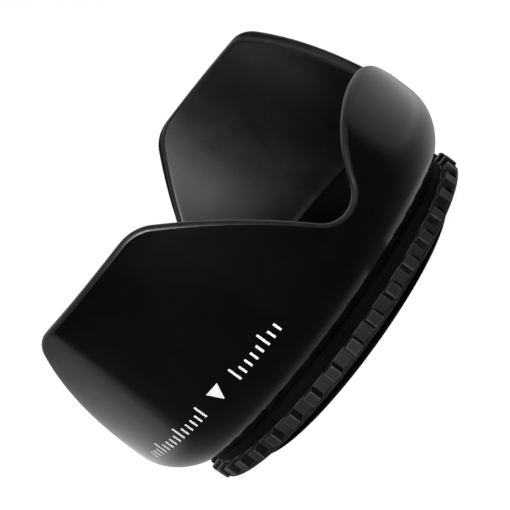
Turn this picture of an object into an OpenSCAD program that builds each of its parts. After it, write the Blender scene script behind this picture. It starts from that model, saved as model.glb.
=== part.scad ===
// Petal lens hood that screws into a lens's filter thread. A threaded sleeve passes through the
// hood's floor, and a toothed lock ring behind it clamps the hood at the angle wanted.
// Lengths are in millimetres. Z is the lens axis: the thread's end is at z = 0 and the petals
// point to +Z. The two long petals lie on the X axis, the two short ones on the Y axis.

/* [Threaded sleeve] */
// Crest diameter of the male filter thread
thread_d = 51.9; // [46:0.1:58]
// Pitch of the thread
thread_pitch = 0.75; // [0.5:0.05:1]
// Depth of the thread
thread_depth = 0.45; // [0.2:0.05:0.5]
// Bare thread behind the lock ring, which enters the lens
thread_bare = 2.4; // [1.5:0.1:4]
// Wall inside the thread's roots
sleeve_wall = 1.5; // [1.3:0.1:2.5]
// How far the flange that holds the hood's floor down reaches out past the journal
flange_w = 5.75; // [3:0.05:7]
// Thickness of the flange
flange_h = 2; // [1:0.1:5]
// Bevel around the flange's front edge
flange_bevel = 0.4; // [0.1:0.1:0.8]
// Width of the keyway that stops the washer from turning
keyway_w = 2.6; // [1.6:0.1:5]
// How far the plain journal in the hood's bore stands out past the thread
journal_step = 0.4; // [0.2:0.05:0.8]
// Depth of the keyway below the thread's crest
keyway_depth = 0.95; // [0.7:0.05:1.2]

/* [Lock ring] */
// Thickness of the ring from its bore to the floors between its teeth
ring_wall = 4.15; // [2:0.05:6]
// Height of the ring along the axis
ring_h = 2.55; // [2:0.05:5]
// Number of grip teeth around the ring
tooth_count = 38; // [24:1:48]
// Width of a tooth across its top
tooth_w = 1.95; // [1:0.05:2.4]
// Height of the teeth above the floors between them
tooth_h = 1.75; // [0.6:0.05:2.4]
// Widening of a tooth towards its root, on each side
tooth_draft = 0.15; // [0.05:0.05:0.3]
// Direction of the first tooth, from the +X axis
tooth_az = 1.15; // [0:0.05:15]
// Height of the smooth rim that closes the gaps between the teeth at the back
rear_rim_h = 0.5; // [0.3:0.05:0.8]
// How far the rim stays below the tops of the teeth
rim_step = 0.45; // [0.1:0.05:0.6]
// Bevel of the rim's back edge
ring_bevel = 0.2; // [0.05:0.05:0.25]

/* [Slip washer] */
// Thickness of the washer from its bore to its outside
washer_wall = 4.1; // [2:0.1:6]
// Height of the washer along the axis
washer_h = 1.55; // [0.8:0.05:3]

/* [Hood bowl] */
// Thickness of the hood's wall
wall = 2; // [1.4:0.1:2.6]
// Thickness of the hood's floor
floor_h = 4.4; // [3:0.1:5.2]
// Rounding of the outside corner at the base
base_round = 9.4; // [6:0.1:10]
// Rounding of the inside corner at the floor
inner_round = 2.75; // [1.5:0.05:4]

/* [Petals] */
// Height of the long petals above the hood's underside
long_h = 35.3; // [32:0.1:48]
// Height of the short petals above the hood's underside
short_h = 19.9; // [17:0.1:23]
// Width of a long petal's front edge, between its corners before they are rounded
tip_w = 27.6; // [22:0.2:31]
// Rounding of the long petals' corners
tip_round = 6.4; // [3:0.1:9]
// Slope of the long petals' flanks where they leave the front edge
flank_angle = 47; // [42:1:54]
// Radius that the flanks bulge with
flank_round = 134; // [95:1:240]
// Rounding at the bottom of the notch between two petals
valley_round = 5.2; // [4:0.1:7]
// Rounding of the short petals
short_round = 21; // [18:0.1:23]
// Direction that the notches are cut in, from a long petal's middle
notch_az = 48; // [44:1:52]

/* [Clearances] */
// Radial clearance of the sleeve in the hood, the washer and the lock ring
run_gap = 0.05; // [0.03:0.01:0.09]
// Gap between flat faces that turn or slide on each other
face_gap = 0.05; // [0.02:0.01:0.1]
// Gap around the washer's key
key_gap = 0.15; // [0.1:0.05:0.3]
// Gap between the flange and the rounding of the hood's inside corner
flange_gap = 0.15; // [0.1:0.05:0.6]

/* [Hidden] */
$fn = 144;
// How far cuts run past what they cut
over = 1;
// How far the notch's arcs overlap the lines that they are tangent to
blend = 0.02;

// Sleeve radii
thread_r = thread_d / 2;
root_r = thread_r - thread_depth;
journal_r = thread_r + journal_step;
flange_r = journal_r + flange_w;
aperture_r = root_r - sleeve_wall;

// Stack of pieces along the axis
ring_z = thread_bare;
washer_z = ring_z + ring_h + face_gap;
shell_z = washer_z + washer_h + face_gap;
journal_z = shell_z + face_gap;
floor_z = shell_z + floor_h;
flange_z = floor_z + face_gap;
flange_top = flange_z + flange_h;

// Ring and washer radii
bore_r = thread_r + run_gap;
root_floor_r = bore_r + ring_wall;
ring_r = root_floor_r + tooth_h;
rim_r = ring_r - rim_step;
washer_r = bore_r + washer_wall;
key_w = keyway_w - 2 * key_gap;
key_r = thread_r - keyway_depth + key_gap;

// Thread form: 60 degree flanks, with a flat crest and a flat root
ridge_run = thread_depth * tan(30);
ridge_flat = (thread_pitch - 2 * ridge_run) / 2;
ridges = floor(shell_z / thread_pitch);

// Hood radii and heights
inner_r = flange_r + flange_gap + inner_round;
body_r = inner_r + wall;
shell_bore_r = journal_r + run_gap;
seat_h = base_round / 4;
long_z = shell_z + long_h;
short_z = shell_z + short_h;

// Notch outline, drawn looking straight in at a notch: x runs around the hood, y is the height.
// The corner's circle touches the flank's large circle from inside. The valley's circle touches
// the flank's circle and the short petal's circle from outside.
flank_side = [sin(flank_angle), cos(flank_angle)];
corner = [-body_r * sin(notch_az - asin(tip_w / 2 / body_r)), long_z];
flank_center = corner - flank_round * flank_side;
tip_rise = long_z - tip_round - flank_center[1];
tip_reach = sqrt(pow(flank_round - tip_round, 2) - tip_rise * tip_rise);
tip_center = flank_center + [tip_reach, tip_rise];
tip_end = flank_center + flank_round / (flank_round - tip_round) * (tip_center - flank_center);
short_center = [body_r * cos(notch_az), short_z - short_round];
to_short = short_center - flank_center;
centers_apart = norm(to_short);
flank_reach = flank_round + valley_round;
short_reach = short_round + valley_round;
along = (pow(centers_apart, 2) + pow(flank_reach, 2) - pow(short_reach, 2)) / (2 * centers_apart);
aside = sqrt(flank_reach * flank_reach - along * along);
to_valley = along / centers_apart * to_short + aside / centers_apart * [-to_short[1], to_short[0]];
valley_center = flank_center + to_valley;
valley_start = flank_center + flank_round / flank_reach * to_valley;

// A 2D copy of the points, flipped left to right where side is -1
function sided(points, side) = [for (p = points) [side * p[0], p[1]]];

// A rectangle from one corner to the opposite one
module box2d(low, high) {
  translate(low) square(high - low);
}

// A disc about a point
module disc(center, r) {
  translate(center) circle(r);
}

// Part of a long petal that its bulging flank bounds, as a sector of the flank's circle
module flank_sector(side) {
  past = 1 + 10 * over / flank_round;
  intersection() {
    disc([side * flank_center[0], flank_center[1]], flank_round);
    polygon(sided([
      flank_center, flank_center + past * (tip_end - flank_center),
      flank_center + past * (valley_start - flank_center)
    ], side));
  }
}

// Area that the petals are notched by, on one side of a long petal
module notch_outline(side) {
  top = long_z + over;
  difference() {
    polygon(sided([
      [tip_center[0], top], tip_center, tip_end, valley_start, valley_center, short_center,
      [short_center[0] + over, short_center[1]], [short_center[0] + over, top]
    ], side));
    disc([side * tip_center[0], tip_center[1]], tip_round + blend);
    flank_sector(side);
    disc([side * short_center[0], short_center[1]], short_round);
  }
  disc([side * valley_center[0], valley_center[1]], valley_round + blend);
}

// One notch, cut outwards from the axis
module notch(side) {
  rotate([0, 0, 90 + side * notch_az])
    rotate([90, 0, 0])
      linear_extrude(body_r + over) notch_outline(side);
}

// Half of a bowl's section: straight wall, rounded corner and flat floor
module bowl_half(r, z, round_r, top) {
  box2d([0, z], [r - round_r, top]);
  box2d([0, z + round_r], [r, top]);
  disc([r - round_r, z + round_r], round_r);
}

// Hood: rounded bowl with a flat seat for the washer, four petals and a plain bore for the sleeve
module petal_shell() {
  color("#1b1b1c")
    difference() {
      rotate_extrude()
        difference() {
          union() {
            bowl_half(body_r, shell_z, base_round, long_z);
            box2d([0, shell_z], [washer_r, shell_z + seat_h]);
          }
          bowl_half(inner_r, floor_z, inner_round, long_z + over);
          box2d([0, shell_z - over], [shell_bore_r, floor_z + over]);
        }
      for (turn = [0, 180])
        rotate([0, 0, turn]) {
          notch(1);
          notch(-1);
        }
    }
}

// Outline of thread ridge number i, from root to root
function ridge(i) =
  let (z = i * thread_pitch + ridge_flat / 2)
    [[root_r, z], [thread_r, z + ridge_run], [thread_r, z + ridge_run + ridge_flat],
     [root_r, z + 2 * ridge_run + ridge_flat]];

// Sleeve: male thread behind, plain journal in the hood's bore, flange in front of the floor
module thread_sleeve() {
  color("#151516")
    difference() {
      rotate_extrude()
        polygon(concat(
          [[aperture_r, 0], [root_r, 0]],
          [for (i = [0 : ridges - 1]) each ridge(i)],
          [[root_r, journal_z], [journal_r, journal_z], [journal_r, flange_z], [flange_r, flange_z],
           [flange_r, flange_top - flange_bevel], [flange_r - flange_bevel, flange_top],
           [aperture_r, flange_top]]
        ));
      translate([-thread_r - over, -keyway_w / 2, -over])
        cube([keyway_depth + over, keyway_w, journal_z + over]);
    }
}

// Washer: smooth collar whose key rides in the sleeve's keyway, so that it slides but can't turn
module slip_washer() {
  color("#121213")
    translate([0, 0, washer_z])
      linear_extrude(washer_h)
        union() {
          difference() {
            circle(washer_r);
            circle(bore_r);
          }
          box2d([-bore_r - washer_wall / 2, -key_w / 2], [-key_r, key_w / 2]);
        }
}

// Section of a grip tooth, along +X, from inside the ring's wall to past the tooth's top
module tooth_section() {
  taper = tooth_draft / tooth_h;
  root_half = tooth_w / 2 + tooth_draft + taper * ring_wall / 2;
  top_half = tooth_w / 2 - taper * over;
  polygon([
    [root_floor_r - ring_wall / 2, -root_half], [ring_r + over, -top_half],
    [ring_r + over, top_half], [root_floor_r - ring_wall / 2, root_half]
  ]);
}

// Lock ring: nut on the sleeve's thread, with grip teeth that end in a smooth rim at the back
module lock_ring() {
  color("#2a2a2b")
    translate([0, 0, ring_z])
      difference() {
        union() {
          translate([0, 0, rear_rim_h])
            linear_extrude(ring_h - rear_rim_h)
              union() {
                circle(root_floor_r);
                intersection() {
                  circle(ring_r);
                  for (i = [0 : tooth_count - 1])
                    rotate(tooth_az + i * 360 / tooth_count) tooth_section();
                }
              }
          rotate_extrude()
            polygon([
              [0, 0], [rim_r - ring_bevel, 0], [rim_r, ring_bevel], [rim_r, rear_rim_h], [0, rear_rim_h]
            ]);
        }
        translate([0, 0, -over])
          cylinder(r = bore_r, h = ring_h + 2 * over);
      }
}

petal_shell();
thread_sleeve();
slip_washer();
lock_ring();
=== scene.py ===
import math

import bmesh
import bpy
import numpy as np
from mathutils import Matrix, Vector


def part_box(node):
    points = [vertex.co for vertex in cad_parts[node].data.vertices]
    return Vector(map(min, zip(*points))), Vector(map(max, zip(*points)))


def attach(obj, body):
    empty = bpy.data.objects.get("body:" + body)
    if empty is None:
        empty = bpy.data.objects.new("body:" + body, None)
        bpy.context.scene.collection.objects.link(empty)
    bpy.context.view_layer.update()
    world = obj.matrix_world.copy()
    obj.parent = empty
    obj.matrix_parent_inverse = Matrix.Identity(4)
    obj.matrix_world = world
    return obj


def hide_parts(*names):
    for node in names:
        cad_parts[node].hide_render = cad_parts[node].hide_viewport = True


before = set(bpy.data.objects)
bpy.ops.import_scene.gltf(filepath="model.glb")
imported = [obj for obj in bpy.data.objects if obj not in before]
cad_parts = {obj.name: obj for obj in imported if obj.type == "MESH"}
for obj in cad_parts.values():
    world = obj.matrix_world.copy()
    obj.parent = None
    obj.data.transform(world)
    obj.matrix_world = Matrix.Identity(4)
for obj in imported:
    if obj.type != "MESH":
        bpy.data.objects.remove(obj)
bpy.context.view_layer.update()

MM = 0.001
FULL_TURN = 2 * math.pi


def box_mm(node):
    """Lowest and highest corner of a CAD node, in millimetres."""
    low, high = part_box(node)
    return low / MM, high / MM


# Sizes that the frame gives
shell_low, shell_high = box_mm("petal_shell")
sleeve_high = box_mm("thread_sleeve")[1]
washer_low, washer_high = box_mm("slip_washer")
ring_low, ring_high = box_mm("lock_ring")
BODY_R = shell_high.x
SHELL_Z = shell_low.z
LONG_Z = shell_high.z
FLANGE_R = sleeve_high.x
FLANGE_TOP = sleeve_high.z
WASHER_R = washer_high.y

# Hood, as in the solids
WALL = 2
FLOOR_H = 4.4
BASE_ROUND = 9.4
INNER_ROUND = 2.75
SHORT_H = 19.9
TIP_W = 27.6
TIP_ROUND = 6.4
FLANK_ANGLE = math.radians(47)
FLANK_ROUND = 134
VALLEY_ROUND = 5.2
SHORT_ROUND = 21
NOTCH_AZ = math.radians(48)

# Sleeve, washer and ring, as in the solids
THREAD_R = 25.95
THREAD_PITCH = 0.75
THREAD_DEPTH = 0.45
THREAD_FLANK = math.radians(30)
JOURNAL_R = 26.35
APERTURE_R = 24
KEYWAY_W = 2.6
KEYWAY_R = 25
KEY_W = 2.3
KEY_R = 25.15
FACE_GAP = 0.05
BORE_R = 26
SHELL_BORE_R = 26.4
RING_R = 31.9
TOOTH_COUNT = 38
TOOTH_W = 1.95
TOOTH_H = 1.75
TOOTH_DRAFT = 0.15
TOOTH_AZ = math.radians(1.15)
REAR_RIM_H = 0.5
RIM_STEP = 0.45

# Edges that only the visible meshes round
RIM_ROUND = 0.8
INNER_RIM_ROUND = 0.8
FLANGE_ROUND = 0.4
EDGE_BREAK = 0.15
TOOTH_ROUND = 0.16
TOOTH_FILLET = 0.2
RING_BEVEL = 0.2
# Where the middle of a small bevel stands, as a share of its width
BEVEL_MIDDLE = 0.3
# How far an edge takes the lighter edge colour, from 0 to 1: rubbing, and a painted highlight where
# light catches the edge
ROOT_WEAR_AND_GLINT, LIGHT_WEAR_AND_GLINT, FRONT_WEAR_AND_GLINT, END_WEAR_AND_GLINT, RIM_WEAR_AND_GLINT = 0.1, 0.3, 0.6, 0.7, 0.8
# Factor for the petals' rim, lightest near the outside wall: rubbing, and a painted highlight on
# the rounding
PETAL_WEAR_AND_GLINT = 1.5
# The print stands a little proud, so the visible hood is this much smaller than its solid
PRINT_ROOM = 0.04
PRINT_SINK = 0.02
PRINT_GAP = 0.01

# How finely the visible meshes are divided
TOP_STEPS, TIP_STEPS, FLANK_STEPS, VALLEY_STEPS, SHORT_STEPS = 14, 18, 16, 22, 40
INNER_RIM_STEPS, RIM_STEPS, WALL_STEPS, BASE_STEPS, CORNER_STEPS = 6, 7, 12, 18, 10
ROUND_COLUMNS = 240
ROWS_PER_PITCH = 10
FLANGE_STEPS = 5
TOOTH_STEPS = 5
MERGE_DISTANCE = 1e-8
SHARP_ANGLE = math.radians(50)


def polar(radius, angle, height):
    """Points on circles about the lens axis. Each value may be a number or an array."""
    angle = np.asarray(angle, float)
    radius = np.broadcast_to(radius, angle.shape)
    height = np.broadcast_to(height, angle.shape)
    return np.stack([radius * np.cos(angle), radius * np.sin(angle), height], axis=1)


def mesh_object(name, points, faces, edge):
    """A smooth-shaded object from points in millimetres, with how far each point is on an edge."""
    mesh = bpy.data.meshes.new(name)
    mesh.from_pydata((np.asarray(points) * MM).tolist(), [], faces)
    wear_and_glint = mesh.attributes.new("edge", "FLOAT", "POINT")
    wear_and_glint.data.foreach_set("value", np.asarray(edge, np.float32))
    work = bmesh.new()
    work.from_mesh(mesh)
    bmesh.ops.remove_doubles(work, verts=work.verts, dist=MERGE_DISTANCE)
    bmesh.ops.dissolve_degenerate(work, edges=work.edges, dist=MERGE_DISTANCE)
    bmesh.ops.recalc_face_normals(work, faces=work.faces)
    work.to_mesh(mesh)
    work.free()
    mesh.shade_smooth()
    mesh.set_sharp_from_angle(angle=SHARP_ANGLE)
    piece = bpy.data.objects.new(name, mesh)
    bpy.context.scene.collection.objects.link(piece)
    weighted = piece.modifiers.new("weighted normals", "WEIGHTED_NORMAL")
    weighted.keep_sharp = True
    return piece


def closed_section(name, rows):
    """A ring-shaped piece from rows of points round the axis. Each row is (points, edge value), and
    the last row joins the first, so that the section is a closed loop."""
    columns = len(rows[0][0])
    points = np.concatenate([row for row, edge in rows])
    edge = np.concatenate([np.broadcast_to(value, columns) for row, value in rows])
    faces = []
    for k in range(len(rows)):
        low, high = k * columns, (k + 1) % len(rows) * columns
        for i in range(columns):
            j = (i + 1) % columns
            faces.append((low + i, low + j, high + j, high + i))
    return mesh_object(name, points, faces, edge)


def arc(center, radius, start, end, steps):
    """Points of an arc in a plane, with the directions from its centre. Angles in radians."""
    angle = np.linspace(start, end, steps)
    out = np.stack([np.cos(angle), np.sin(angle)], axis=1)
    return np.asarray(center) + radius * out, out


def angle_of(vector):
    return math.atan2(vector[1], vector[0])


def rim_quarter():
    """The petals' rim from the middle of a long petal to the middle of a short one: angle round the
    hood outside and inside the wall, height, and the rim's upward normal in the unrolled wall."""
    flank_side = np.array([math.sin(FLANK_ANGLE), math.cos(FLANK_ANGLE)])
    half_tip = math.asin(TIP_W / 2 / BODY_R)
    corner = np.array([-BODY_R * math.sin(NOTCH_AZ - half_tip), LONG_Z])
    flank_center = corner - FLANK_ROUND * flank_side
    tip_rise = LONG_Z - TIP_ROUND - flank_center[1]
    tip_reach = math.sqrt((FLANK_ROUND - TIP_ROUND) ** 2 - tip_rise ** 2)
    tip_center = flank_center + [tip_reach, tip_rise]
    short_center = np.array([BODY_R * math.cos(NOTCH_AZ), SHELL_Z + SHORT_H - SHORT_ROUND])
    to_short = short_center - flank_center
    apart = np.hypot(*to_short)
    flank_reach = FLANK_ROUND + VALLEY_ROUND
    short_reach = SHORT_ROUND + VALLEY_ROUND
    along = (apart ** 2 + flank_reach ** 2 - short_reach ** 2) / (2 * apart)
    aside = math.sqrt(flank_reach ** 2 - along ** 2)
    to_valley = along / apart * to_short + aside / apart * np.array([-to_short[1], to_short[0]])
    valley_center = flank_center + to_valley

    tip_end = angle_of(tip_center - flank_center)
    tip, tip_out = arc(tip_center, TIP_ROUND, math.pi / 2, tip_end, TIP_STEPS)
    side, side_out = arc(flank_center, FLANK_ROUND, tip_end, angle_of(to_valley), FLANK_STEPS)
    valley_ends = angle_of(-to_valley), angle_of(short_center - valley_center)
    valley, valley_out = arc(valley_center, VALLEY_ROUND, *valley_ends, VALLEY_STEPS)
    short_ends = valley_ends[1] + math.pi, math.pi / 2
    short, short_out = arc(short_center, SHORT_ROUND, *short_ends, SHORT_STEPS)
    sketch = np.concatenate([tip, side[1:-1], valley, short[1:]])
    normal = np.concatenate([tip_out, side_out[1:-1], -valley_out, short_out[1:]])

    # The notches are cut parallel to their direction, so the inside edge lies further round, and
    # the two cuts that meet in the middle of a short petal even out there.
    x, height = sketch[:, 0], sketch[:, 1]
    outside = NOTCH_AZ + np.arcsin(x / BODY_R)
    inside = NOTCH_AZ + np.arcsin(np.clip(x / (BODY_R - WALL), -1, 1))
    to_middle = np.clip((x - valley[-1, 0]) / (short_center[0] - valley[-1, 0]), 0, 1)
    inside += (outside - inside) * to_middle

    top_share = np.linspace(0, 1, TOP_STEPS)[:-1]
    outside = np.concatenate([top_share * outside[0], outside])
    inside = np.concatenate([top_share * inside[0], inside])
    height = np.concatenate([np.full(len(top_share), LONG_Z), height])
    normal = np.concatenate([np.repeat([[0.0, 1.0]], len(top_share), 0), normal])
    return outside, inside, height, normal


def whole_rim():
    """The rim right round the hood: the quarter, its mirror image, and both again half a turn
    on."""
    outside, inside, height, normal = rim_quarter()
    back = slice(-2, 0, -1)
    flipped = normal * [-1, 1]

    def half(angle):
        return np.concatenate([angle, math.pi - angle[::-1][1:]])[:-1]

    def twice(values):
        return np.concatenate([values, values])

    outside, inside = half(outside), half(inside)
    outside = np.concatenate([outside, outside + math.pi])
    inside = np.concatenate([inside, inside + math.pi])
    height = twice(np.concatenate([height, height[back]]))
    normal = twice(np.concatenate([normal, flipped[back]]))
    return outside, inside, height, normal


def petal_shell():
    """Hood: petals with rounded rims, rounded bowl, washer seat, bore and inside corner."""
    outside, inside, height, normal = whole_rim()
    body_r = BODY_R - PRINT_ROOM
    inner_r = BODY_R - WALL
    floor_z = SHELL_Z + FLOOR_H
    rows = []

    def rim_row(radius, angle, depth, edge):
        turned = angle - normal[:, 0] * depth / radius
        rows.append((polar(radius, turned, height - normal[:, 1] * depth), edge))

    def ring_row(radius, z):
        rows.append((polar(radius, base_angle, z), 0.0))

    # Rim, from the inside over the top to the outside
    for turn in np.linspace(0, math.pi / 2, INNER_RIM_STEPS):
        inset = INNER_RIM_ROUND * (1 - math.cos(turn))
        depth = INNER_RIM_ROUND * (1 - math.sin(turn))
        rim_row(inner_r + inset, inside, depth, math.sin(2 * turn))
    for turn in np.linspace(math.pi / 2, 0, RIM_STEPS):
        inset = RIM_ROUND * (1 - math.cos(turn))
        depth = RIM_ROUND * (1 - math.sin(turn))
        # The rim's lighter edge colour: rubbing, and a painted highlight strongest near the outside
        # wall
        wear_and_glint = PETAL_WEAR_AND_GLINT * math.sin(2 * turn) * math.cos(turn) ** 2
        rim_row(body_r - inset, outside, depth, wear_and_glint)

    # Outside wall, down to the rounded base
    base_angle = outside - normal[:, 0] * RIM_ROUND / body_r
    top = height - normal[:, 1] * RIM_ROUND
    base_z = SHELL_Z + BASE_ROUND
    for share in np.linspace(0, 1, WALL_STEPS)[1:-1]:
        rows.append((polar(body_r, base_angle, top + (base_z - top) * share), 0.0))
    seat_turn = math.acos((WASHER_R - BODY_R + BASE_ROUND) / BASE_ROUND)
    for turn in np.linspace(0, seat_turn, BASE_STEPS):
        radius = body_r - BASE_ROUND * (1 - math.cos(turn))
        ring_row(radius, base_z - BASE_ROUND * math.sin(turn))

    # Washer seat, underside and bore
    ring_row(WASHER_R, SHELL_Z + EDGE_BREAK / 2)
    ring_row(WASHER_R - EDGE_BREAK / 2, SHELL_Z)
    ring_row(SHELL_BORE_R + EDGE_BREAK, SHELL_Z)
    ring_row(SHELL_BORE_R, SHELL_Z + EDGE_BREAK)
    ring_row(SHELL_BORE_R, floor_z - EDGE_BREAK)
    ring_row(SHELL_BORE_R + EDGE_BREAK, floor_z)

    # Floor, inside corner and inside wall
    for turn in np.linspace(math.pi / 2, 0, CORNER_STEPS):
        radius = inner_r - INNER_ROUND * (1 - math.cos(turn))
        ring_row(radius, floor_z + INNER_ROUND * (1 - math.sin(turn)))
    wall_z = floor_z + INNER_ROUND
    top_angle = inside - normal[:, 0] * INNER_RIM_ROUND / inner_r
    top = height - normal[:, 1] * INNER_RIM_ROUND
    for share in np.linspace(0, 1, WALL_STEPS)[1:-1]:
        angle = base_angle + (top_angle - base_angle) * share
        rows.append((polar(inner_r, angle, wall_z + (top - wall_z) * share), 0.0))
    return closed_section("petal_hood", rows)


def notched_angles(count, width, radius):
    """Angles round a piece, with a pair of columns at each side of a slot or key on the -X axis."""
    side = math.asin(width / 2 / radius)
    step = FULL_TURN / count
    plain = np.arange(side + step / 2, FULL_TURN - side - step / 4, step)
    in_slot = np.array([0.0, side / 2, side])
    out_of_slot = FULL_TURN - in_slot[:0:-1]
    angle = np.concatenate([in_slot, [side], plain, [FULL_TURN - side], out_of_slot])
    slot = np.zeros(len(angle), bool)
    slot[:len(in_slot)] = True
    slot[-len(out_of_slot):] = True
    return angle + math.pi, slot


def thread_height(phase):
    """How far the thread stands above its root, at a share of the pitch."""
    flank = THREAD_DEPTH * math.tan(THREAD_FLANK) / THREAD_PITCH
    flat = (1 - 2 * flank) / 2
    corners = [0, flat, flat + flank, 2 * flat + flank, 1]
    return THREAD_DEPTH * np.interp(phase % 1, corners, [0, 0, 1, 1, 0])


def thread_sleeve():
    """Sleeve: helical right-hand thread with a keyway, plain journal and bevelled flange."""
    angle, slot = notched_angles(ROUND_COLUMNS, KEYWAY_W, THREAD_R)
    columns = len(angle)
    root_r = THREAD_R - THREAD_DEPTH
    floor_z = SHELL_Z + FLOOR_H
    journal_z = SHELL_Z + FACE_GAP
    flange_z = floor_z + FACE_GAP
    turn = angle / FULL_TURN
    rows = []

    # The thread's rows climb one pitch in a turn, and stop at the two ends
    spare_turns = 1.1
    thread_rows = math.ceil(ROWS_PER_PITCH * (journal_z / THREAD_PITCH + spare_turns)) + 1
    for k in range(thread_rows):
        z = np.clip((k / ROWS_PER_PITCH - 1 + turn) * THREAD_PITCH, 0, journal_z)
        lead_in = root_r + EDGE_BREAK + z
        radius = np.minimum(root_r + thread_height(z / THREAD_PITCH - turn), lead_in)
        rows.append((polar(np.where(slot, KEYWAY_R, radius), angle, z), 0.0))

    def ring_row(radius, z, edge=0.0):
        rows.append((polar(radius, angle, z), edge))

    ring_row(JOURNAL_R - EDGE_BREAK, journal_z)
    ring_row(JOURNAL_R, journal_z + EDGE_BREAK)
    ring_row(JOURNAL_R, flange_z)
    ring_row(FLANGE_R - EDGE_BREAK, flange_z)
    ring_row(FLANGE_R, flange_z + EDGE_BREAK)
    for tilt in np.linspace(0, math.pi / 2, FLANGE_STEPS):
        radius = FLANGE_R - FLANGE_ROUND * (1 - math.cos(tilt))
        ring_row(radius, FLANGE_TOP - FLANGE_ROUND * (1 - math.sin(tilt)), math.sin(2 * tilt))
    ring_row(APERTURE_R + 2 * EDGE_BREAK, FLANGE_TOP)
    ring_row(APERTURE_R, FLANGE_TOP - 2 * EDGE_BREAK)
    ring_row(APERTURE_R, 2 * EDGE_BREAK)
    ring_row(APERTURE_R + 2 * EDGE_BREAK, 0)

    points = np.concatenate([row for row, edge in rows])
    edge = np.concatenate([np.full(columns, value) for row, value in rows])
    faces = []
    for k in range(len(rows)):
        for i in range(columns):
            j = (i + 1) % columns
            climb = ROWS_PER_PITCH if j == 0 and k < thread_rows - 1 else 0
            above = (k + 1) % len(rows)
            if climb and above + climb >= thread_rows:
                continue
            low, high = k * columns, above * columns
            after = j + climb * columns
            faces.append((low + i, low + after, high + after, high + i))
    return mesh_object("threaded_sleeve", points, faces, edge)


def slip_washer():
    """Washer: smooth collar with broken edges and the key in its bore."""
    angle, key = notched_angles(ROUND_COLUMNS, KEY_W, BORE_R)
    low, high = washer_low.z, washer_high.z
    bore = np.where(key, KEY_R, BORE_R)
    middle = EDGE_BREAK * BEVEL_MIDDLE
    section = [
        (bore, low + EDGE_BREAK, 0.0), (bore + EDGE_BREAK, low, 0.0),
        (WASHER_R - EDGE_BREAK, low, 0.0), (WASHER_R - middle, low + middle, RIM_WEAR_AND_GLINT),
        (WASHER_R, low + EDGE_BREAK, 0.0), (WASHER_R, high - EDGE_BREAK, 0.0),
        (WASHER_R - middle, high - middle, RIM_WEAR_AND_GLINT), (WASHER_R - EDGE_BREAK, high, 0.0),
        (bore + EDGE_BREAK, high, 0.0), (bore, high - EDGE_BREAK, 0.0),
    ]
    return closed_section("washer_collar", [(polar(r, angle, z), edge) for r, z, edge in section])


def tooth_profile(rim_r):
    """Outline of the ring's teeth: angle of each point's tooth, the point in that tooth's own plane
    with the tooth along +x, its outward normal and its edge value. One point of each flank lies at
    the rim's radius."""
    root_r = RING_R - TOOTH_H
    taper = TOOTH_DRAFT / TOOTH_H
    half_pitch = math.pi / TOOTH_COUNT

    def on_flank(radius):
        x = radius
        for _ in range(4):  # settles to far below a micron
            y = TOOTH_W / 2 + taper * (RING_R - x)
            x = math.sqrt(radius ** 2 - y ** 2)
        return x, y

    half = [(RING_R, 0.0, 1.0, 0.0, 0.0), (RING_R, TOOTH_W / 4, 1.0, 0.0, 0.0)]
    for turn in np.linspace(math.pi / 2, 0, TOOTH_STEPS):
        out = math.sin(turn), math.cos(turn)
        x = RING_R - TOOTH_ROUND * (1 - out[0])
        y = TOOTH_W / 2 - TOOTH_ROUND * (1 - out[1])
        half.append((x, y, *out, ROOT_WEAR_AND_GLINT + (1 - ROOT_WEAR_AND_GLINT) * math.sin(2 * turn)))
    half.append((*on_flank(rim_r), 0.0, 1.0, 0.0))
    x, y = on_flank(root_r + TOOTH_FILLET)
    inner = BEVEL_MIDDLE * TOOTH_FILLET
    diagonal = 0.7
    half.append((x, y, 0.0, 1.0, 0.0))
    half.append((root_r + inner, y + inner, diagonal, diagonal, 0.0))
    half.append((root_r, y + TOOTH_FILLET, 1.0, 0.0, 0.0))
    middle = root_r * math.cos(half_pitch), root_r * math.sin(half_pitch)
    half.append((*middle, math.cos(half_pitch), math.sin(half_pitch), 0.0))
    other = [(x, -y, out_x, -out_y, edge) for x, y, out_x, out_y, edge in half[-2:0:-1]]
    one_tooth = np.array(other + half)
    tooth = np.repeat(TOOTH_AZ + 2 * half_pitch * np.arange(TOOTH_COUNT), len(one_tooth))
    points = np.tile(one_tooth, (TOOTH_COUNT, 1))
    return tooth, points[:, :2], points[:, 2:4], points[:, 4]


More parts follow.
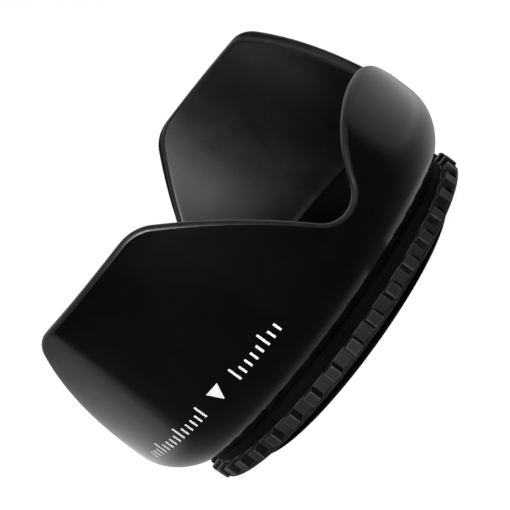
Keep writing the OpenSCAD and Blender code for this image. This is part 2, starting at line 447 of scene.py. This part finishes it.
def lock_ring():
    """Lock ring: grip teeth with broken front edges, which end in a smooth rim at the back."""
    rim_r = RING_R - RIM_STEP
    break_r = rim_r - EDGE_BREAK / 2
    tooth, points, out, corner = tooth_profile(break_r)
    low, high = ring_low.z, ring_high.z
    rim_z = low + REAR_RIM_H
    rows = []

    def toothed(inset):
        x, y = (points - inset * out).T
        return np.minimum(np.hypot(x, y), RING_R), tooth + np.arctan2(y, x)

    def round_row(radius, z, edge=0.0):
        rows.append((polar(radius, toothed(0)[1], z), edge))

    def tooth_row(inset, z, edge):
        rows.append((polar(*toothed(inset), z), edge))

    rear_middle = RING_BEVEL * BEVEL_MIDDLE
    front_middle = EDGE_BREAK * BEVEL_MIDDLE
    round_row(BORE_R, low + RING_BEVEL)
    round_row(BORE_R + RING_BEVEL, low)
    round_row(rim_r - RING_BEVEL, low, LIGHT_WEAR_AND_GLINT)
    round_row(rim_r - rear_middle, low + rear_middle, RIM_WEAR_AND_GLINT)
    round_row(rim_r, low + RING_BEVEL, LIGHT_WEAR_AND_GLINT)
    round_row(rim_r, rim_z - EDGE_BREAK / 2, LIGHT_WEAR_AND_GLINT)
    round_row(break_r, rim_z, FRONT_WEAR_AND_GLINT)
    on_top = np.hypot(*points.T) > rim_r
    tooth_row(0, rim_z, np.where(on_top, END_WEAR_AND_GLINT, ROOT_WEAR_AND_GLINT))
    tooth_row(0, rim_z + EDGE_BREAK, corner)
    tooth_row(0, high - EDGE_BREAK, corner)
    tooth_row(front_middle, high - front_middle, np.maximum(corner, FRONT_WEAR_AND_GLINT))
    tooth_row(EDGE_BREAK, high, LIGHT_WEAR_AND_GLINT)
    round_row(BORE_R + RING_BEVEL, high)
    round_row(BORE_R, high - RING_BEVEL)
    return closed_section("toothed_ring", rows)


def printed_patch(outline_rows):
    """A thin printed patch on the hood's wall, from rows of (angle, height) across it."""
    under, over = BODY_R - PRINT_ROOM - PRINT_SINK, BODY_R - PRINT_GAP
    across = len(outline_rows[0])
    count = len(outline_rows)
    points = []
    for radius in (under, over):
        for row in outline_rows:
            angle, z = np.array(row).T
            points.append(polar(radius, angle, z))
    points = np.concatenate(points)
    faces = []
    half = across * count
    for k in range(count - 1):
        for i in range(across - 1):
            a = k * across + i
            quad = (a, a + 1, a + across + 1, a + across)
            faces.append(tuple(reversed(quad)))
            faces.append(tuple(half + v for v in quad))
    loop = list(range(across))
    loop += [k * across + across - 1 for k in range(1, count)]
    loop += [(count - 1) * across + i for i in range(across - 2, -1, -1)]
    loop += [k * across for k in range(count - 2, 0, -1)]
    for a, b in zip(loop, loop[1:] + loop[:1]):
        faces.append((a, b, half + b, half + a))
    return points, faces


# Index print on the long petal at +X: a triangle that points to the thread, between graduations
PRINT_AZ = math.radians(1)
MARK_Z = 16.4
MARK_H = 2.4
TRIANGLE_W = 2.94
TRIANGLE_H = 2.5
TRIANGLE_Z = 16.33
TRIANGLE_TIP = 0.04
TRIANGLE_ROWS, TRIANGLE_COLUMNS = 6, 5
TICK_W = 0.38
TICK_STEP = math.radians(2.2)
# On each side of the triangle: direction, number of ticks and angle of the first
TICKS = {"left": (-1, 14, math.radians(7.6)), "right": (1, 8, math.radians(7))}
LONG_TICK_EVERY = 5
SHORT_TICK_SHARE = 0.62


def triangle_mark():
    """The index triangle. Its tip is cut off to a narrow edge."""
    half = TRIANGLE_W / 2 / BODY_R
    low, high = TRIANGLE_Z - TRIANGLE_H / 2, TRIANGLE_Z + TRIANGLE_H / 2
    rows = []
    for share in np.linspace(TRIANGLE_TIP, 1, TRIANGLE_ROWS):
        z = low + (high - low) * share
        across = np.linspace(-half * share, half * share, TRIANGLE_COLUMNS)
        rows.append([(PRINT_AZ + angle, z) for angle in across])
    points, faces = printed_patch(rows)
    return mesh_object("index_triangle", points, faces, np.zeros(len(points)))


def graduation(name, side, count, start):
    """A row of plain ticks beside the triangle, every fifth one longer."""
    all_points, all_faces = [], []
    half = TICK_W / 2 / BODY_R
    for i in range(count):
        middle = PRINT_AZ + side * (start + i * TICK_STEP)
        height = MARK_H if i % LONG_TICK_EVERY == 0 else MARK_H * SHORT_TICK_SHARE
        low, high = MARK_Z - MARK_H / 2, MARK_Z - MARK_H / 2 + height
        rows = [[(middle - half, z), (middle + half, z)] for z in (low, high)]
        points, faces = printed_patch(rows)
        shift = len(all_points) * len(points)
        all_points.append(points)
        all_faces += [tuple(v + shift for v in face) for face in faces]
    points = np.concatenate(all_points)
    return mesh_object("graduation_" + name, points, all_faces, np.zeros(len(points)))


def node_tree(name):
    """A new material with an empty node tree."""
    material = bpy.data.materials.new(name)
    material.use_nodes = True
    material.node_tree.nodes.clear()
    return material, material.node_tree.nodes, material.node_tree.links


def noise(nodes, links, size, detail=3.0, roughness=0.55):
    """Noise on the piece's own coordinates, with features of that size in millimetres."""
    place = nodes.new("ShaderNodeTexCoord")
    texture = nodes.new("ShaderNodeTexNoise")
    texture.inputs["Scale"].default_value = 1 / (size * MM)
    texture.inputs["Detail"].default_value = detail
    texture.inputs["Roughness"].default_value = roughness
    links.new(place.outputs["Object"], texture.inputs["Vector"])
    return texture.outputs["Fac"]


def ramp(nodes, links, value, stops):
    """A colour ramp over a value, from two stops of (position, grey level or colour)."""
    node = nodes.new("ShaderNodeValToRGB")
    for element, (position, colour) in zip(node.color_ramp.elements, stops):
        element.position = position
        rgb = colour if isinstance(colour, tuple) else (colour,) * 3
        element.color = (*rgb, 1)
    links.new(value, node.inputs["Fac"])
    return node.outputs["Color"]


def fade(nodes, links, value, span, shares):
    """A share that goes smoothly from the first to the second while a value crosses a span."""
    node = nodes.new("ShaderNodeMapRange")
    node.interpolation_type = "SMOOTHSTEP"
    node.inputs["From Min"].default_value, node.inputs["From Max"].default_value = span
    node.inputs["To Min"].default_value, node.inputs["To Max"].default_value = shares
    links.new(value, node.inputs["Value"])
    return node.outputs["Result"]


def combined(nodes, links, operation, first, second):
    """Two values put through a maths node."""
    node = nodes.new("ShaderNodeMath")
    node.operation = operation
    links.new(first, node.inputs[0])
    links.new(second, node.inputs[1])
    return node.outputs["Value"]


def from_point(nodes, links, operation, place, point):
    """A place's distance from a point, or its length along a direction."""
    node = nodes.new("ShaderNodeVectorMath")
    node.operation = operation
    node.inputs[1].default_value = point
    links.new(place, node.inputs[0])
    return node.outputs["Value"]


def bump(nodes, links, height, strength, depth):
    """A bump from a height, as deep as that in millimetres."""
    node = nodes.new("ShaderNodeBump")
    node.inputs["Strength"].default_value = strength
    node.inputs["Distance"].default_value = depth * MM
    links.new(height, node.inputs["Height"])
    return node


def principled(nodes, links):
    """A plastic shader that feeds the material's output."""
    output = nodes.new("ShaderNodeOutputMaterial")
    shader = nodes.new("ShaderNodeBsdfPrincipled")
    links.new(shader.outputs["BSDF"], output.inputs["Surface"])
    return shader.inputs


# Moulded plastic: sizes of its clouds, patches of lighter edge colour (rubbing and painted
# highlight), gloss patches and slow waves, in millimetres
CLOUD_SIZE, RUB_AND_GLINT_SIZE, GLOSS_SIZE, WAVE_SIZE = 9.0, 0.8, 4.0, 6.0
LEAST_RUB_AND_GLINT = 0.35
GLOSS_SPREAD = 0.05
WAVE_STRENGTH, WAVE_DEPTH = 0.25, 0.02
GRAIN_STRENGTH = 0.5
# Ink: sizes of its thin places, gloss patches and film, in millimetres
INK_SIZE, INK_GLOSS_SIZE, FILM_SIZE = 0.5, 0.8, 0.3
INK_THIN, INK_FULL = (0.62, 0.63, 0.62), (0.86, 0.87, 0.86)
INK_ROUGH = (0.6, 0.42)
FILM_STRENGTH, FILM_DEPTH = 0.3, 0.01


def moulded_plastic(name, dark, light, worn_and_glint, rough, grain, grain_depth, sheen):
    """Moulded plastic: cloudy near-black colour, edges lighter in patches from rubbing and from a
    painted highlight, and a fine spark-eroded grain with slow waves under it. Grain sizes are in
    millimetres. Sheen is how much the face mirrors straight on, as a share of bare plastic. It
    rises to bare plastic at a glancing angle."""
    material, nodes, links = node_tree(name)
    shader = principled(nodes, links)
    shader["Specular Tint"].default_value = (sheen, sheen, sheen, 1)

    clouds = ramp(nodes, links, noise(nodes, links, CLOUD_SIZE), [(0.3, dark), (0.7, light)])
    spots = noise(nodes, links, RUB_AND_GLINT_SIZE, detail=4.0)
    rubbed_and_glint = ramp(nodes, links, spots, [(0.35, LEAST_RUB_AND_GLINT), (0.65, 1.0)])
    edge = nodes.new("ShaderNodeAttribute")
    edge.attribute_name = "edge"
    colour = nodes.new("ShaderNodeMix")
    colour.data_type = "RGBA"
    # Edges take the lighter colour in patches: rubbing, and a painted highlight
    wear_and_glint = combined(nodes, links, "MULTIPLY", edge.outputs["Fac"], rubbed_and_glint)
    links.new(wear_and_glint, colour.inputs["Factor"])
    links.new(clouds, colour.inputs["A"])
    colour.inputs["B"].default_value = (*worn_and_glint, 1)
    links.new(colour.outputs["Result"], shader["Base Color"])

    gloss = [(0.25, rough + GLOSS_SPREAD), (0.75, rough - GLOSS_SPREAD)]
    links.new(ramp(nodes, links, noise(nodes, links, GLOSS_SIZE), gloss), shader["Roughness"])

    slow = noise(nodes, links, WAVE_SIZE, detail=1.0)
    waves = bump(nodes, links, slow, WAVE_STRENGTH, WAVE_DEPTH)
    fine = noise(nodes, links, grain, detail=2.0)
    pits = bump(nodes, links, fine, GRAIN_STRENGTH, grain_depth)
    links.new(waves.outputs["Normal"], pits.inputs["Normal"])
    links.new(pits.outputs["Normal"], shader["Normal"])
    return material


def white_ink(name):
    """Pad-printed white ink, slightly thin in places."""
    material, nodes, links = node_tree(name)
    shader = principled(nodes, links)
    tint = [(0.3, INK_THIN), (0.6, INK_FULL)]
    links.new(ramp(nodes, links, noise(nodes, links, INK_SIZE), tint), shader["Base Color"])
    gloss = [(0, INK_ROUGH[0]), (1, INK_ROUGH[1])]
    links.new(ramp(nodes, links, noise(nodes, links, INK_GLOSS_SIZE), gloss), shader["Roughness"])
    film = bump(nodes, links, noise(nodes, links, FILM_SIZE), FILM_STRENGTH, FILM_DEPTH)
    links.new(film.outputs["Normal"], shader["Normal"])
    return material


def dress(piece, material, body, slot, *nodes):
    """Finish for a piece, the body it moves with, a material slot name that is not used, and the
    nodes it stands for.
    """
    piece.data.materials.append(material)
    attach(piece, body)
    if nodes:
        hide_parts(*nodes)


def refinish(piece, material, chosen):
    """A finish of its own for the chosen faces of a piece. The choice takes the radius and height
    of a face's middle, and its normal along the radius, round the axis and along the axis."""
    piece.data.materials.append(material)
    index = len(piece.data.materials) - 1
    for face in piece.data.polygons:
        x, y, z = face.center
        radius = math.hypot(x, y)
        outward = (face.normal.x * x + face.normal.y * y) / radius
        around = (face.normal.y * x - face.normal.x * y) / radius
        if chosen(radius / MM, z / MM, outward, around, face.normal.z):
            face.material_index = index


# Normals that tell the faces apart, as shares of a unit normal
SIDEWAYS = 0.8
UPWARD = 0.2
UPRIGHT_WALL = 0.995


def faces_inside(radius, z, outward, around, forward):
    """The faces of the hood that look in at the axis, and the floor's front."""
    return outward < -SIDEWAYS or (forward > UPWARD and z < SHELL_Z + FLOOR_H + INNER_ROUND)


def petal_rim(radius, z, outward, around, forward):
    """The rounded rim of the petals."""
    return z > SHELL_Z + BASE_ROUND and abs(outward) < UPRIGHT_WALL


def washer_seat(radius, z, outward, around, forward):
    """The hood's underside from the edge of the washer's seat to the bore."""
    return SHELL_BORE_R < radius < WASHER_R + EDGE_BREAK and z < SHELL_Z + EDGE_BREAK * 3


def rear_rim(radius, z, outward, around, forward):
    """The lock ring's smooth rim behind the teeth, which has a darker colour than the teeth."""
    return z < ring_low.z + REAR_RIM_H


def tooth_flanks(radius, z, outward, around, forward):
    """The sides of the lock ring's teeth, which take a darker colour as painted shade."""
    return abs(around) > SIDEWAYS


HOOD_DARK, HOOD_LIGHT = (0.0014,) * 3, (0.0026,) * 3
REAR_DARK, REAR_LIGHT = (0.0025, 0.0025, 0.0026), (0.0045, 0.0045, 0.0047)

hood_finish = moulded_plastic(
    "hood_satin_black", HOOD_DARK, HOOD_LIGHT, worn_and_glint=(0.06,) * 3,
    rough=0.1, grain=0.22, grain_depth=0.003, sheen=0.1)
rim_finish = moulded_plastic(
    "rim_satin_black", HOOD_DARK, HOOD_LIGHT, worn_and_glint=(0.018,) * 3,
    rough=0.4, grain=0.22, grain_depth=0.006, sheen=1)
inside_finish = moulded_plastic(
    "inside_matte_black", HOOD_DARK, HOOD_LIGHT, worn_and_glint=(0.06,) * 3,
    rough=0.42, grain=0.3, grain_depth=0.012, sheen=1)
sleeve_finish = moulded_plastic(
    "sleeve_matte_black", REAR_DARK, REAR_LIGHT, worn_and_glint=(0.04,) * 3,
    rough=0.9, grain=0.25, grain_depth=0.008, sheen=0.04)
washer_finish = moulded_plastic(
    "washer_matte_black", (0.002, 0.002, 0.0021), (0.004, 0.004, 0.0042), worn_and_glint=(0.006,) * 3,
    rough=0.9, grain=0.3, grain_depth=0.01, sheen=0.04)
ring_finish = moulded_plastic(
    "ring_matte_grey", (0.011, 0.011, 0.0113), (0.019, 0.019, 0.0196), worn_and_glint=(0.1,) * 3,
    rough=0.45, grain=0.18, grain_depth=0.014, sheen=0.25)
# Painted shade: the teeth's sides are darker than their tops
flank_shade_finish = moulded_plastic(
    "ring_flank_painted_shade", (0.0045, 0.0045, 0.0046), (0.0075, 0.0075, 0.0077), worn_and_glint=(0.05,) * 3,
    rough=0.5, grain=0.18, grain_depth=0.01, sheen=0.1)
rear_finish = moulded_plastic(
    "ring_rear_black", REAR_DARK, REAR_LIGHT, worn_and_glint=(0.03,) * 3,
    rough=0.5, grain=0.18, grain_depth=0.01, sheen=0.1)
print_finish = white_ink("print_white_ink")

hood = petal_shell()
dress(hood, hood_finish, "hood", "hood_plastic", "petal_shell")
refinish(hood, inside_finish, faces_inside)
refinish(hood, rim_finish, petal_rim)
refinish(hood, washer_finish, washer_seat)
dress(thread_sleeve(), sleeve_finish, "sleeve", "sleeve_plastic", "thread_sleeve")
dress(slip_washer(), washer_finish, "washer", "washer_plastic", "slip_washer")
ring = lock_ring()
dress(ring, ring_finish, "ring", "ring_plastic", "lock_ring")
refinish(ring, flank_shade_finish, tooth_flanks)
refinish(ring, rear_finish, rear_rim)
dress(triangle_mark(), print_finish, "hood", "hood_plastic")
for side_name, (side, count, start) in TICKS.items():
    dress(graduation(side_name, side, count, start), print_finish, "hood", "hood_plastic")


# Camera: where the photograph was taken from, rolled so that the hood lies on a slant in the frame
CAMERA_DISTANCE = 366
CAMERA_AZ = math.radians(33.286)
CAMERA_EL = math.radians(7.882)
CAMERA_ROLL = math.radians(53.86)
CAMERA_LENS = 158.45
SENSOR_WIDTH = 36
NEAREST_SEEN = 10
AIM_Z = 19.13
AIM_NUDGE = (-0.430, 0.650)


def photo_camera():
    """The scene's camera."""
    back = Vector((
        math.cos(CAMERA_EL) * math.cos(CAMERA_AZ),
        math.cos(CAMERA_EL) * math.sin(CAMERA_AZ),
        math.sin(CAMERA_EL),
    ))
    level = Vector((-math.sin(CAMERA_AZ), math.cos(CAMERA_AZ), 0))
    upright = level.cross(-back)
    across = math.cos(CAMERA_ROLL) * level - math.sin(CAMERA_ROLL) * upright
    up = math.sin(CAMERA_ROLL) * level + math.cos(CAMERA_ROLL) * upright
    aim = Vector((0, 0, AIM_Z)) + AIM_NUDGE[0] * across + AIM_NUDGE[1] * up
    camera = bpy.data.objects.new("photo_camera", bpy.data.cameras.new("photo_camera"))
    bpy.context.scene.collection.objects.link(camera)
    camera.data.lens = CAMERA_LENS
    camera.data.sensor_width = SENSOR_WIDTH
    camera.data.clip_start = NEAREST_SEEN * MM
    place = Matrix.Translation((aim + CAMERA_DISTANCE * back) * MM)
    turn = Matrix((across, up, back)).transposed().to_4x4()
    camera.matrix_world = place @ turn
    bpy.context.scene.camera = camera


photo_camera()


# Studio, in metres: a pale floor that keeps the shadow, white surroundings and soft lamps
FLOOR_SIZE = 6.0
FLOOR_DROP = 0.00002
FLOOR_GLOW = 0.98
FLOOR_COLOUR = 0.4
ROOM_LIGHT = 0.06


def level_direction(azimuth):
    return Vector((math.cos(azimuth), math.sin(azimuth), 0))


def level_side(azimuth):
    return Vector((-math.sin(azimuth), math.cos(azimuth), 0))


# Painted reflection: what the plastic mirrors is set by place. The room is dark in front of the
# part
# and white behind it. Shares of the white, and where each fades into the next:
ROOM_FRONT = level_direction(math.radians(25.3))
BACKDROP_SHEEN = 0.8
BACKDROP_FADE = (-0.6, -0.18)
# floor behind the part, to the sides, and less of it further away as a painted fall-off of light
FLOOR_SHEEN = 0.97
FLOOR_FADE = (-0.006, 0.03)
FAR_FLOOR_SHARE = 0.65
FAR_FLOOR_FADE = (-0.14, -0.04)
# the part's shadow behind it, painted into what the plastic mirrors
SHADOW_SIDE = level_side(math.radians(27))
SHADOW_SHEEN = 0.28
SHADOW_FADE = (0.036, 0.08)
# floor under the part, from one side to the other, with a narrow dark gap: a painted reflection
# with painted shade in the gap
UNDER_SHEEN = (0.29, 0.67)
UNDER_SPAN = (-0.026, 0.03)
UNDER_FADE = (0.0315, 0.0375)
GAP_SIDE = level_side(math.radians(57.9))
GAP_FADE = (0.002, 0.0045)


def seen_directly(nodes, links, white):
    """1 for rays from the camera and for rays that pass through, and the white share for those that
    the part mirrors."""
    path = nodes.new("ShaderNodeLightPath").outputs
    mirrored = combined(nodes, links, "MULTIPLY", path["Is Glossy Ray"], white)
    direct = combined(nodes, links, "MAXIMUM", path["Is Camera Ray"], path["Is Transmission Ray"])
    return combined(nodes, links, "MAXIMUM", direct, mirrored)


def painted_floor_reflection(nodes, links):
    """How much of the floor's white the part mirrors at a place on it: a painted reflection, with a
    painted shadow behind the part and a painted dark gap under it.
    """
    place = nodes.new("ShaderNodeTexCoord").outputs["Object"]

    def along(direction):
        return from_point(nodes, links, "DOT_PRODUCT", place, direction)

    def times(first, second):
        return combined(nodes, links, "MULTIPLY", first, second)

    def away(distance, span, shares):
        squares = [end ** 2 for end in span]
        return fade(nodes, links, times(distance, distance), squares, shares)

    aside = along(SHADOW_SIDE)
    lit = away(aside, SHADOW_FADE, (SHADOW_SHEEN, FLOOR_SHEEN))
    depth = along(ROOM_FRONT)
    back = fade(nodes, links, depth, FLOOR_FADE, (1, 0))
    far = fade(nodes, links, depth, FAR_FLOOR_FADE, (FAR_FLOOR_SHARE, 1))
    from_part = from_point(nodes, links, "DISTANCE", place, (0, 0, 0))
    near = fade(nodes, links, from_part, UNDER_FADE, (1, 0))
    beside_gap = away(along(GAP_SIDE), GAP_FADE, (0, 1))
    sides = fade(nodes, links, aside, UNDER_SPAN, UNDER_SHEEN)
    behind = times(lit, times(back, far))
    under = times(times(near, beside_gap), sides)
    return combined(nodes, links, "MAXIMUM", behind, under)


def studio_floor():
    """Pale paper that glows white for the camera, so that only the part's shadow shows on it."""
    mesh = bpy.data.meshes.new("studio_floor")
    half = FLOOR_SIZE / 2
    corners = [(-half, -half, 0), (half, -half, 0), (half, half, 0), (-half, half, 0)]
    mesh.from_pydata(corners, [], [(0, 1, 2, 3)])
    floor = bpy.data.objects.new("studio_floor", mesh)
    bpy.context.scene.collection.objects.link(floor)
    floor.location.z = -FLOOR_DROP
    material, nodes, links = node_tree("floor_pale")
    output = nodes.new("ShaderNodeOutputMaterial")
    paper = nodes.new("ShaderNodeBsdfDiffuse")
    paper.inputs["Color"].default_value = (FLOOR_COLOUR,) * 3 + (1,)
    glow = nodes.new("ShaderNodeEmission")
    glow.inputs["Strength"].default_value = FLOOR_GLOW
    both = nodes.new("ShaderNodeAddShader")
    links.new(paper.outputs["BSDF"], both.inputs[0])
    links.new(glow.outputs["Emission"], both.inputs[1])
    seen = nodes.new("ShaderNodeMixShader")
    white = painted_floor_reflection(nodes, links)
    links.new(seen_directly(nodes, links, white), seen.inputs["Fac"])
    links.new(paper.outputs["BSDF"], seen.inputs[1])
    links.new(both.outputs["Shader"], seen.inputs[2])
    links.new(seen.outputs["Shader"], output.inputs["Surface"])
    mesh.materials.append(material)


def studio_world():
    """Faint room light, and white surroundings for the camera and for what the part mirrors. The
    mirrored white is a painted reflection: it reaches only mirrored rays and fades out toward the
    room's front.
    """
    world = bpy.data.worlds.new("studio")
    bpy.context.scene.world = world
    world.use_nodes = True
    nodes, links = world.node_tree.nodes, world.node_tree.links
    nodes.clear()
    output = nodes.new("ShaderNodeOutputWorld")
    room = nodes.new("ShaderNodeBackground")
    room.inputs["Strength"].default_value = ROOM_LIGHT
    white = nodes.new("ShaderNodeBackground")
    white.inputs["Strength"].default_value = 1.0
    for background in (room, white):
        background.inputs["Color"].default_value = (1, 1, 1, 1)
    # Painted reflection: the mirrored white fades out toward the room's front by direction
    direction = nodes.new("ShaderNodeTexCoord").outputs["Generated"]
    depth = from_point(nodes, links, "DOT_PRODUCT", direction, ROOM_FRONT)
    back = fade(nodes, links, depth, BACKDROP_FADE, (BACKDROP_SHEEN, 0))
    seen = nodes.new("ShaderNodeMixShader")
    links.new(seen_directly(nodes, links, back), seen.inputs["Fac"])
    links.new(room.outputs["Background"], seen.inputs[1])
    links.new(white.outputs["Background"], seen.inputs[2])
    links.new(seen.outputs["Shader"], output.inputs["Surface"])


def soft_lamp(name, azimuth, elevation, distance, size, power):
    """A square soft lamp that faces the hood, in degrees, metres and watts. Azimuth is from +X."""
    lamp = bpy.data.objects.new(name, bpy.data.lights.new(name, "AREA"))
    bpy.context.scene.collection.objects.link(lamp)
    lamp.data.size = size
    lamp.data.energy = power
    a, e = math.radians(azimuth), math.radians(elevation)
    toward = Vector((math.cos(e) * math.cos(a), math.cos(e) * math.sin(a), math.sin(e)))
    middle = Vector((0, 0, AIM_Z * MM))
    lamp.location = middle + toward * distance
    lamp.rotation_euler = (-toward).to_track_quat("-Z", "Y").to_euler()


studio_floor()
studio_world()
soft_lamp("key", azimuth=23, elevation=17, distance=0.6, size=0.1, power=4.0)
soft_lamp("top", azimuth=33, elevation=75, distance=0.6, size=0.4, power=0.3)

bpy.context.scene.view_settings.view_transform = "Standard"
